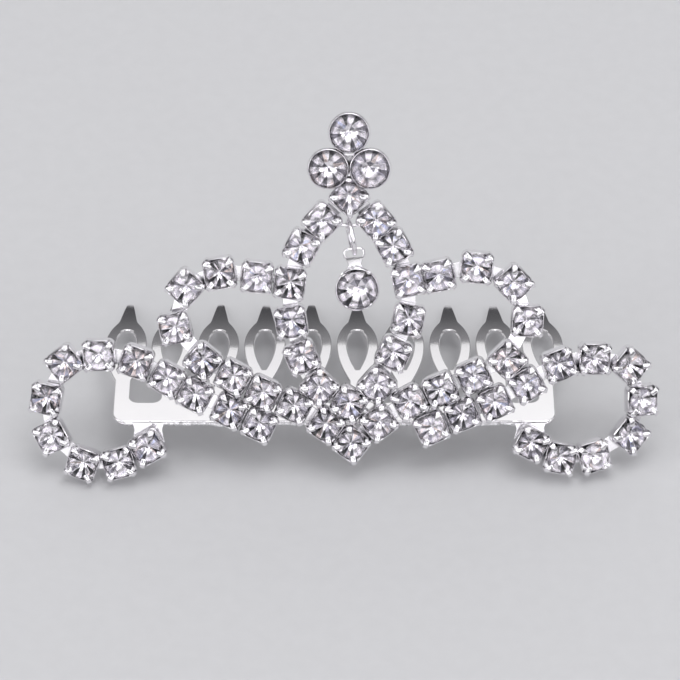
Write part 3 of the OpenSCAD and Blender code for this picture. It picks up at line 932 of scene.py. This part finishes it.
def tooth_half(p):
    """Half width of a tooth's outline, p from the band's front edge."""
    end = COMB_L - TIP_R
    widths = [leaf_half(LOOP_W / 2, LOOP_FRONT_L, LOOP_TIP_L, p - LOOP_MID), round_half(TIP_R, p - end)]
    if p < STEM_END:
        widths.append(STEM_W / 2)
    if TAPER_FROM <= p <= end:
        widths.append(TAPER_HALF + (TIP_R - TAPER_HALF) * (p - TAPER_FROM) / (end - TAPER_FROM))
    return max(widths)


def eye_half(y):
    """Half width of a tooth's eye, y from the loop's widest place: a leaf with two rounded ends."""
    return max(leaf_half(LOOP_W / 2 - LOOP_SIDE, EYE_FRONT_L, EYE_TIP_L, y),
               *(round_half(r, y - middle) for r, middle in EYE_ENDS))


def tooth_x(i):
    """Where that tooth's middle line is across the comb."""
    return (i - (TEETH - 1) / 2) * PITCH


def quarter(steps):
    """Cosine and sine of angles from 0 to 90 degrees."""
    return [(math.cos(a), math.sin(a)) for a in np.linspace(0, math.pi / 2, steps + 1)]


def band_outline():
    """The band's front edge, from its left end to its right end."""
    left, right = -COMB_W / 2, COMB_W / 2
    points = [(left + BAND_R - BAND_R * c, BAND_R - BAND_R * s) for c, s in quarter(8)]
    points += [(x, 0.0) for x in np.linspace(left + BAND_R, right - BAND_R, 60)[1:-1]]
    return points + [(right - BAND_R + BAND_R * s, BAND_R - BAND_R * c) for c, s in quarter(8)]


def gap_outline(x):
    """The round end of the gap to the left of the tooth at x."""
    right, left = x - STEM_W / 2, x - PITCH + STEM_W / 2
    points = [(right - GAP_R + GAP_R * c, BAND_L + GAP_R - GAP_R * s) for c, s in quarter(8)[1:]]
    return points + [(left + GAP_R - GAP_R * s, BAND_L + GAP_R - GAP_R * c) for c, s in quarter(8)[:-1]]


def comb_outline():
    """The flat comb's outer outline, counterclockwise."""
    points = band_outline()
    rows = list(np.linspace(BAND_L + GAP_R, COMB_L - TIP_R, 44))
    rows += [COMB_L - TIP_R + TIP_R * s for _, s in quarter(6)[1:]]
    for i in range(TEETH - 1, -1, -1):
        x = tooth_x(i)
        points += [(x + tooth_half(p), p) for p in rows[:-1]] + [(x, rows[-1])]
        points += [(x - tooth_half(p), p) for p in rows[-2::-1]]
        if i:
            points += gap_outline(x)
    return points


def eye_outline(i):
    """Outline of that tooth's eye, with more points near its ends."""
    x = tooth_x(i)
    angles = np.linspace(0.03, math.pi - 0.03, EYE_STEPS)
    ys = [EYE_MIDDLE - EYE_HALF_L * math.cos(a) for a in angles]
    return ([(x + eye_half(y), LOOP_MID + y) for y in ys]
            + [(x - eye_half(y), LOOP_MID + y) for y in ys[::-1]])


def flat_comb():
    """Mesh of the flat comb, with its edges rounded."""
    curve = bpy.data.curves.new("comb_outline", "CURVE")
    curve.dimensions = "2D"
    curve.fill_mode = "BOTH"
    curve.extrude = COMB_T / 2 - COMB_EDGE_R
    curve.bevel_depth = COMB_EDGE_R
    curve.offset = -COMB_EDGE_R
    curve.bevel_resolution = 2
    for outline in [comb_outline()] + [eye_outline(i) for i in range(TEETH)]:
        spline = curve.splines.new("POLY")
        spline.points.add(len(outline) - 1)
        for point, (x, y) in zip(spline.points, outline):
            point.co = (x, y, 0, 1)
        spline.use_cyclic_u = True
    flat = add_object("comb_outline", curve)
    bpy.context.view_layer.update()
    mesh = bpy.data.meshes.new_from_object(flat.evaluated_get(bpy.context.evaluated_depsgraph_get()))
    bpy.data.objects.remove(flat)
    return mesh


def bent(flat_place, waves):
    """Where a point of the flat comb lies on the bent one, whose teeth are a little uneven."""
    x, p, t = flat_place
    h = math.sqrt((ARC_R + t) ** 2 - (p - COMB_L / 2) ** 2) - ARC_MIDDLE
    tooth = min(TEETH - 1, max(0, round(x / PITCH + (TEETH - 1) / 2)))
    side = (x - tooth_x(tooth)) / (LOOP_W / 2)
    along = max(0, p - BAND_L - GAP_R) / (COMB_L - BAND_L - GAP_R)
    lift, twist = waves[tooth]
    h += (lift + twist * side) * math.sin(2 * math.pi * along)
    return Vector((x + COMB_SHIFT, COMB_UP + p * math.sin(COMB_SLOPE) + h * math.cos(COMB_SLOPE),
                   -COMB_BACK - p * math.cos(COMB_SLOPE) + h * math.sin(COMB_SLOPE)))


def bent_normal(flat_place, waves):
    """The bent comb's normal on its top and underside; zero on its edges, whose own normal is kept."""
    if abs(flat_place.z) < COMB_T / 2 - 0.001:
        return Vector((0, 0, 0))
    across, along = Vector((0.01, 0, 0)), Vector((0, 0.01, 0))
    first = bent(flat_place + across, waves) - bent(flat_place - across, waves)
    second = bent(flat_place + along, waves) - bent(flat_place - along, waves)
    normal = first.cross(second).normalized() * math.copysign(1, flat_place.z)
    return (CROWN.to_3x3() @ normal).normalized()


def bend_comb(mesh):
    """Cuts the flat comb across in narrow rows and bends it."""
    rng = random.Random("teeth")
    waves = [(rng.uniform(-0.05, 0.05), rng.uniform(-0.04, 0.04)) for _ in range(TEETH)]
    work = bmesh.new()
    work.from_mesh(mesh)
    bmesh.ops.remove_doubles(work, verts=work.verts, dist=0.0005)
    for p in np.linspace(0.4, COMB_L - 0.4, 60):
        bmesh.ops.bisect_plane(work, geom=work.verts[:] + work.edges[:] + work.faces[:],
                               plane_co=(0, p, 0), plane_no=(0, 1, 0))
    normals = []
    for v in work.verts:
        normals.append(bent_normal(v.co, waves))
        v.co = CROWN @ bent(v.co, waves)
    bmesh.ops.recalc_face_normals(work, faces=work.faces)
    for f in work.faces:
        f.smooth = True
    work.to_mesh(mesh)
    work.free()
    mesh.set_sharp_from_angle(angle=math.radians(SHARP_EDGE))
    mesh.normals_split_custom_set([normals[loop.vertex_index] for loop in mesh.loops])


def comb():
    mesh = flat_comb()
    bend_comb(mesh)
    mesh.name = "comb_metal"
    mesh.materials.clear()
    mesh.materials.append(COMB_SILVER)
    settle(add_object("comb_metal", mesh), "tiara", ["comb"])


# The lumps of solder that hold the comb, by stones of each strand, and the bead along its band
LUMP_SIZE = (1.0, 0.9)
LUMP_UP = 0.9
LUMP_IN = 1.6
BEAD_R = 0.3
BEAD_SWELL = 0.16
BEAD_SWELL_REACH = 2.4
BEAD_STEPS = 260
BEAD_AROUND = 12


def solder_bead(maker, lumps, rng):
    """Uneven bead of solder that ran along the front edge of the comb's band, thicker by the lumps."""
    half = COMB_W / 2 - BAND_R
    sine, cosine = math.sin(COMB_SLOPE), math.cos(COMB_SLOPE)
    phases = [rng.uniform(0, 6.28) for _ in range(4)]
    loops = []
    for x in np.linspace(COMB_SHIFT - half, COMB_SHIFT + half, BEAD_STEPS):
        near = max(math.exp(-((x - lump) / BEAD_SWELL_REACH) ** 2) for lump in lumps)
        wave = math.sin(1.1 * x + phases[0]) + 0.7 * math.sin(2.7 * x + phases[1])
        grit = math.sin(7.3 * x + phases[2]) + math.sin(11.9 * x + phases[3])
        r = BEAD_R + BEAD_SWELL * near + 0.035 * wave + 0.025 * grit
        y = COMB_UP - 0.05 - 0.12 * near - 0.03 * wave
        z = 0.02 - COMB_BACK
        loops.append([(x, y + r * (math.cos(a) * cosine + 0.9 * math.sin(a) * sine),
                       z + r * (0.9 * math.sin(a) * cosine - math.cos(a) * sine))
                      for a in round_angles(BEAD_AROUND)])
    maker.loft(loops)


def comb_solder():
    maker, rng = Maker(), random.Random("solder")
    left, right, garland = (STRANDS["stones_" + n] for n in ("left_scroll", "right_scroll", "garland"))
    lumps = [(place[0], COMB_UP + LUMP_UP) for place in (left[10], garland[8], garland[10], right[10])]
    lumps += [(place[0], COMB_UP + PLATE_LAP - LUMP_UP) for place in (left[0], right[0])]
    for x, y in lumps:
        front = -bow(x) - 0.02
        back = -COMB_BACK - LUMP_IN
        blob(maker, (x, y, (front + back) / 2), (*LUMP_SIZE, (front - back) / 2), rng)
    solder_bead(maker, [x for x, y in lumps], rng)
    maker.piece("comb_solder_lumps", [SOLDER], "tiara", "silver_plating")


comb()
comb_solder()


# Floor, light and camera, in metres

FLOOR_HALF = 2.0
LIGHT_AIM = Vector((0, 0, 0.02))

# Soft boxes: place, width and height, power
SOFTBOXES = {
    "top": ((0.1, -0.15, 0.9), (0.7, 0.5), 2.4),
    "back": ((0, 1.1, 0.66), (1.6, 0.68), 2.0),
    "front_low": ((0, -1.1, 0.34), (1.3, 0.42), 1.1),
    "left": ((-0.85, -0.35, 0.45), (0.25, 0.7), 1.2),
    "right": ((0.85, -0.3, 0.4), (0.22, 0.7), 1.0)}

# Colours of the tent by height at its back and front, and of the patches round the camera
TENT_BACK = [
    (0.0, (0.06, 0.06, 0.065)), (0.1, (0.1, 0.1, 0.105)), (0.26, (0.25, 0.25, 0.26)),
    (0.65, (0.41, 0.41, 0.42)), (0.9, (0.95, 0.95, 0.97))]
TENT_FRONT = [
    (0.0, (0.08, 0.08, 0.085)), (0.08, (0.12, 0.12, 0.125)), (0.22, (0.52, 0.52, 0.54)),
    (0.45, (0.7, 0.7, 0.72)), (0.8, (0.9, 0.9, 0.92))]
TENT_PATCHES = [
    (0.0, (0.06, 0.06, 0.065)), (0.2, (0.35, 0.35, 0.37)), (0.4, (1.1, 1.1, 1.13)),
    (0.6, (2.1, 2.1, 2.15))]

# The back gives way to the front over this range of y, and the patches come in over this one of z
FRONT_FROM = (0.05, -0.15)
PATCHES_FROM = (0.27, 0.34)
PATCH_SCALE = 7.0

# The camera looks at this spot, in the crown's millimetres, from this many degrees above its face
CAMERA_AIM = (-0.6, 22.09, 1.53)
CAMERA_RISE = 12
CAMERA_AWAY = 0.6
CAMERA_LENS = 211.6


def floor():
    mesh = bpy.data.meshes.new("floor")
    corners = [(-1, -1), (1, -1), (1, 1), (-1, 1)]
    mesh.from_pydata([(x * FLOOR_HALF, y * FLOOR_HALF, 0) for x, y in corners], [], [[0, 1, 2, 3]])
    mesh.materials.append(floor_paper())
    add_object("floor", mesh)


def softbox(name, where, size, power):
    light = bpy.data.lights.new(name, "AREA")
    light.shape = "RECTANGLE"
    light.size, light.size_y = size
    light.energy = power
    obj = add_object(name, light)
    obj.location = where
    obj.rotation_euler = (LIGHT_AIM - Vector(where)).to_track_quat("-Z", "Y").to_euler()


def tent():
    """A light tent: bright overhead, dim at the back's horizon, and in patches round the camera."""
    world = bpy.data.worlds.new("studio")
    bpy.context.scene.world = world
    world.use_nodes = True
    tree = Tree(world.node_tree)
    way = tree.add("TexCoord").outputs["Generated"]
    parts = tree.add("SeparateXYZ", Vector=way)
    height, depth = parts.outputs["Z"], parts.outputs["Y"]
    ahead = tree.spread(depth, FRONT_FROM)
    raised = tree.spread(height, PATCHES_FROM)
    sides = tree.mix(ahead, tree.shade(height, TENT_BACK), tree.shade(height, TENT_FRONT))
    cells = tree.add("TexVoronoi", Scale=PATCH_SCALE, Vector=way).outputs["Color"]
    cell = tree.add("SeparateXYZ", Vector=cells).outputs["X"]
    patches = tree.shade(cell, TENT_PATCHES, "CONSTANT")
    sky = tree.mix(tree.multiply(ahead, raised), sides, patches)
    background = tree.nodes["Background"]
    tree.feed(background.inputs["Color"], sky)
    tree.feed(background.inputs["Strength"], 1.0)


def camera():
    """Square on to the crown in azimuth and a little above its face, as the photo was taken."""
    lift = math.radians(LEAN + CAMERA_RISE)
    data = bpy.data.cameras.new("camera")
    data.sensor_width = 36
    data.lens = CAMERA_LENS
    data.clip_start, data.clip_end = 0.05, 20
    obj = add_object("camera", data)
    back = Vector((0, -math.cos(lift), math.sin(lift)))
    obj.location = CROWN @ Vector(CAMERA_AIM) + back * CAMERA_AWAY
    obj.rotation_euler = (-back).to_track_quat("-Z", "Y").to_euler()
    bpy.context.scene.camera = obj


floor()
tent()
for box_name, (where, size, power) in SOFTBOXES.items():
    softbox(box_name, where, size, power)
camera()
bpy.context.scene.view_settings.view_transform = "Standard"
